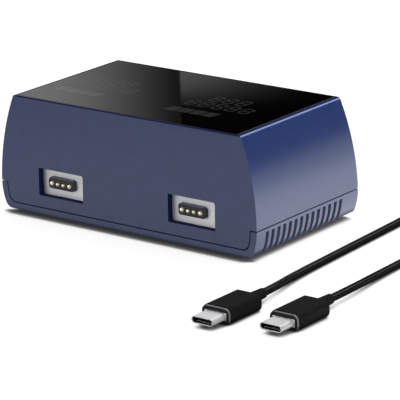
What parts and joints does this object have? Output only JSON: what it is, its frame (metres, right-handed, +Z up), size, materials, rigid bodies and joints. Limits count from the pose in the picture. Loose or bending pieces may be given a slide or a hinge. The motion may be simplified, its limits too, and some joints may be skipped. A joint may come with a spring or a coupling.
{
  "type": "dual battery charger",
  "caption": "Tabletop battery charger with spring contact ports in front, a flush display top, side vents and a coiled charging lead.",
  "frame": {"origin": "on the table under the middle of the charger, without its loose lead", "axes": "+X to the right along the charger's length, -Y out of the contact ports, +Z up"},
  "size_m": [0.1624, 0.1638, 0.0422],
  "materials": {
    "housing_blue": "satin metallic blue lacquer over moulded plastic",
    "glass_black": "polished black-backed glass",
    "rubber_black": "matt moulded rubber",
    "plate_steel": "satin plated steel sheet",
    "block_black": "satin black moulding",
    "contact_gold": "gold-plated brass",
    "steel_plain": "plain bright steel",
    "board_green": "green solder-masked board",
    "display_grey": "smoked display lens",
    "ribbon_tan": "polyimide ribbon",
    "inductor_grey": "moulded ferrite",
    "capacitor_sleeve": "bare aluminium can",
    "chip_black": "black epoxy package",
    "sink_black": "black anodised aluminium",
    "blower_black": "black glass-filled moulding",
    "plug_black": "soft-touch black overmould",
    "cable_black": "black elastomer jacket"
  },
  "bodies": {
    "charger": {"upper_shell": "housing_blue", "lower_tray": "housing_blue", "top_glass": "glass_black", "display_board": "board_green", "display_left": "display_grey", "display_right": "display_grey", "display_ribbon": "ribbon_tan", "port_ribbons": "ribbon_tan", "main_board": "board_green", "inductors": "inductor_grey", "capacitors": "capacitor_sleeve", "power_chips": "chip_black", "heat_sink": "sink_black", "blower_case": "blower_black", "blower_lid": "blower_black", "inlet_shell": "steel_plain", "inlet_tongue": "block_black", "front_foot": "rubber_black", "rear_foot": "rubber_black", "lead_run_a": "cable_black", "lead_run_b": "cable_black", "lead_coil": "cable_black", "port_plate_left": "plate_steel", "contact_block_left": "block_black", "contact_board_left": "board_green", "contact_barrels_left": "contact_gold", "contact_springs_left": "steel_plain", "port_plate_right": "plate_steel", "contact_block_right": "block_black", "contact_board_right": "board_green", "contact_barrels_right": "contact_gold", "contact_springs_right": "steel_plain", "plug_a_shell": "steel_plain", "plug_a_body": "plug_black", "plug_a_relief": "plug_black", "plug_b_shell": "steel_plain", "plug_b_body": "plug_black", "plug_b_relief": "plug_black"},
    "left_pin_1": {"left_pin_1": "contact_gold"},
    "left_pin_2": {"left_pin_2": "contact_gold"},
    "left_pin_3": {"left_pin_3": "contact_gold"},
    "left_pin_4": {"left_pin_4": "contact_gold"},
    "right_pin_1": {"right_pin_1": "contact_gold"},
    "right_pin_2": {"right_pin_2": "contact_gold"},
    "right_pin_3": {"right_pin_3": "contact_gold"},
    "right_pin_4": {"right_pin_4": "contact_gold"},
    "impeller": {"impeller": "blower_black"}
  },
  "joints": [
    {"name": "left_pin_1_press", "type": "slide", "parent": "charger", "child": "left_pin_1", "axis": [0, 1, 0], "range_m": [0, 0.0008], "stiffness_N_per_m": 500, "springref_m": -0.001, "deforming": ["contact_springs_left"]},
    {"name": "left_pin_2_press", "type": "slide", "parent": "charger", "child": "left_pin_2", "axis": [0, 1, 0], "range_m": [0, 0.0008], "stiffness_N_per_m": 500, "springref_m": -0.001, "deforming": ["contact_springs_left"]},
    {"name": "left_pin_3_press", "type": "slide", "parent": "charger", "child": "left_pin_3", "axis": [0, 1, 0], "range_m": [0, 0.0008], "stiffness_N_per_m": 500, "springref_m": -0.001, "deforming": ["contact_springs_left"]},
    {"name": "left_pin_4_press", "type": "slide", "parent": "charger", "child": "left_pin_4", "axis": [0, 1, 0], "range_m": [0, 0.0008], "stiffness_N_per_m": 500, "springref_m": -0.001, "deforming": ["contact_springs_left"]},
    {"name": "right_pin_1_press", "type": "slide", "parent": "charger", "child": "right_pin_1", "axis": [0, 1, 0], "range_m": [0, 0.0008], "stiffness_N_per_m": 500, "springref_m": -0.001, "deforming": ["contact_springs_right"]},
    {"name": "right_pin_2_press", "type": "slide", "parent": "charger", "child": "right_pin_2", "axis": [0, 1, 0], "range_m": [0, 0.0008], "stiffness_N_per_m": 500, "springref_m": -0.001, "deforming": ["contact_springs_right"]},
    {"name": "right_pin_3_press", "type": "slide", "parent": "charger", "child": "right_pin_3", "axis": [0, 1, 0], "range_m": [0, 0.0008], "stiffness_N_per_m": 500, "springref_m": -0.001, "deforming": ["contact_springs_right"]},
    {"name": "right_pin_4_press", "type": "slide", "parent": "charger", "child": "right_pin_4", "axis": [0, 1, 0], "range_m": [0, 0.0008], "stiffness_N_per_m": 500, "springref_m": -0.001, "deforming": ["contact_springs_right"]},
    {"name": "impeller_spin", "type": "hinge", "parent": "charger", "child": "impeller", "pos_m": [-0.0267, 0.00335, 0.0085], "axis": [0, 0, 1], "continuous": true}
  ]
}
